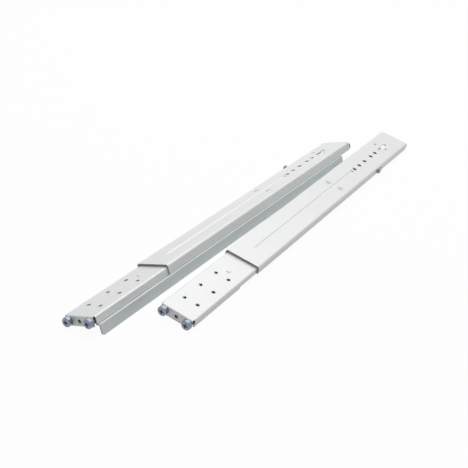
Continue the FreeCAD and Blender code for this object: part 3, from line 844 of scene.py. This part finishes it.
def open_floor_group():
    """0 on the floor under the rails, where a painted shadow goes because they shut the light out,
    and 1 on the open floor.
    """
    group, _, given = new_group("open_floor", [], [("Open", "NodeSocketFloat")])
    place = group.nodes.new("ShaderNodeTexCoord")
    length, width = 0.542, 0.0425
    inner_blur, outer_blur = 0.0015, 0.0005
    centre = (8.5, 300)
    masks = []
    for side in SIDES:
        middle = rail_matrix(side) @ Vector((centre[0], centre[1] + PULL[side], 0))
        local = group.nodes.new("ShaderNodeMapping")
        local.vector_type = "TEXTURE"
        local.inputs["Location"].default_value = (middle.x, middle.y, 0)
        local.inputs["Rotation"].default_value = (0, 0, HEADING[side])
        group.links.new(place.outputs["Object"], local.inputs["Vector"])
        axes = group.nodes.new("ShaderNodeSeparateXYZ")
        group.links.new(local.outputs["Vector"], axes.inputs[0])
        across = calculated(group, "ABSOLUTE", axes.outputs["X"])
        along = calculated(group, "ABSOLUTE", axes.outputs["Y"])
        beyond = calculated(group, "SUBTRACT", along, (length - width) / 2)
        reach = calculated(group, "MAXIMUM", across, beyond)
        soft = group.nodes.new("ShaderNodeMapRange")
        soft.interpolation_type = "SMOOTHSTEP"
        soft.inputs["From Min"].default_value = width / 2 - inner_blur
        soft.inputs["From Max"].default_value = width / 2 + outer_blur
        group.links.new(reach, soft.inputs["Value"])
        masks.append(soft.outputs[0])
    group.links.new(calculated(group, "MINIMUM", *masks), given.inputs["Open"])
    return group


def floor_paint(colour, whiteness):
    """Plain paint that camera and mirror rays see mixed with even white on the open floor; under
    the rails they see only the darker plain paint, a painted shadow that the real shadow also falls
    on.
    """
    paint = bpy.data.materials.new("floor_paint")
    paint.use_nodes = True
    tree = paint.node_tree
    shader = tree.nodes["Principled BSDF"]
    shader.inputs["Base Color"].default_value = (*colour, 1)
    shader.inputs["Roughness"].default_value = 0.9
    shader.inputs["Specular IOR Level"].default_value = 0.1
    chalk = tree.nodes.new("ShaderNodeBsdfDiffuse")
    chalk.inputs["Color"].default_value = (0.97, 0.97, 0.97, 1)
    white = tree.nodes.new("ShaderNodeEmission")
    clear = tree.nodes.new("ShaderNodeGroup")
    clear.node_tree = open_floor_group()
    pale = mixed(tree, whiteness, chalk.outputs[0], white.outputs[0], None)
    share = calculated(tree, "MULTIPLY", seen_rays(tree), clear.outputs["Open"])
    mixed(tree, share, shader.outputs[0], pale, tree.nodes["Material Output"].inputs["Surface"])
    return paint


class RAIL_OT_stage(bpy.types.Operator):
    """Build the floor, the lamps, the room and the camera"""

    bl_idname = "rail.stage"
    bl_label = "Studio"

    def execute(self, context):
        settings = context.scene.rail_studio
        build = bmesh.new()
        bmesh.ops.create_grid(build, x_segments=1, y_segments=1, size=settings.floor_size / 2)
        mesh = bpy.data.meshes.new("studio_floor")
        build.to_mesh(mesh)
        build.free()
        floor = bpy.data.objects.new("studio_floor", mesh)
        context.scene.collection.objects.link(floor)
        mesh.materials.append(floor_paint(settings.floor_colour, settings.floor_whiteness))

        area_lamp("overhead", (0.1, 0.7, 1.9), (0, 0, 0), (2.4, 2.4), settings.overhead_power)
        area_lamp("key", (-1.6, 1.4, 1.5), (0, 0, 0), (1.2, 1.2), settings.key_power)

        world = context.scene.world or bpy.data.worlds.new("studio_room")
        context.scene.world = world
        world.use_nodes = True
        tree = world.node_tree
        room = tree.nodes["Background"]
        room.inputs["Color"].default_value = (1, 1, 1, 1)
        room.inputs["Strength"].default_value = settings.world_strength
        white = tree.nodes.new("ShaderNodeBackground")
        mixed(tree, seen_rays(tree), room.outputs[0], white.outputs[0],
              tree.nodes["World Output"].inputs["Surface"])

        data = bpy.data.cameras.new("camera")
        data.lens = settings.focal_length
        data.sensor_width = 36.0
        data.clip_start = 0.01
        camera = bpy.data.objects.new("camera", data)
        context.scene.collection.objects.link(camera)
        camera.location = (0.53691, -0.93117, 0.5224)
        camera.rotation_euler = (math.radians(90 - 26.732), 0, math.radians(32.61))
        context.scene.camera = camera
        return {"FINISHED"}


class RAIL_PT_panel(bpy.types.Panel):
    """Settings and steps of the rack rails"""

    bl_label = "Rack rails"
    bl_idname = "RAIL_PT_panel"
    bl_space_type = "VIEW_3D"
    bl_region_type = "UI"
    bl_category = "Rack rails"

    def draw(self, context):
        column = self.layout.column()
        for group in SETTINGS:
            settings = getattr(context.scene, group)
            for name in settings.__annotations__:
                column.prop(settings, name)
            column.separator()
        for step in STEPS:
            column.operator(step.bl_idname)


SETTINGS = {"rail_sizes": RailSizeSettings, "rail_sheet": RailSheetSettings,
            "rail_fasteners": RailFastenerSettings, "rail_studio": RailStudioSettings}
STEPS = (RAIL_OT_channels, RAIL_OT_slides, RAIL_OT_ledges, RAIL_OT_guides, RAIL_OT_screws,
         RAIL_OT_clinch_nuts, RAIL_OT_stage)


def register():
    for name, group in SETTINGS.items():
        bpy.utils.register_class(group)
        setattr(bpy.types.Scene, name, bpy.props.PointerProperty(type=group))
    for made in (*STEPS, RAIL_PT_panel):
        bpy.utils.register_class(made)


def unregister():
    for made in (RAIL_PT_panel, *reversed(STEPS)):
        bpy.utils.unregister_class(made)
    for name, group in SETTINGS.items():
        delattr(bpy.types.Scene, name)
        bpy.utils.unregister_class(group)


def main():
    register()
    context = bpy.context
    context.scene.view_settings.view_transform = "Standard"
    bpy.ops.rail.channels()
    bpy.ops.rail.slides()
    bpy.ops.rail.ledges()
    bpy.ops.rail.guides()
    bpy.ops.rail.screws()
    bpy.ops.rail.clinch_nuts()
    bpy.ops.rail.stage()


if __name__ == "__main__":
    main()
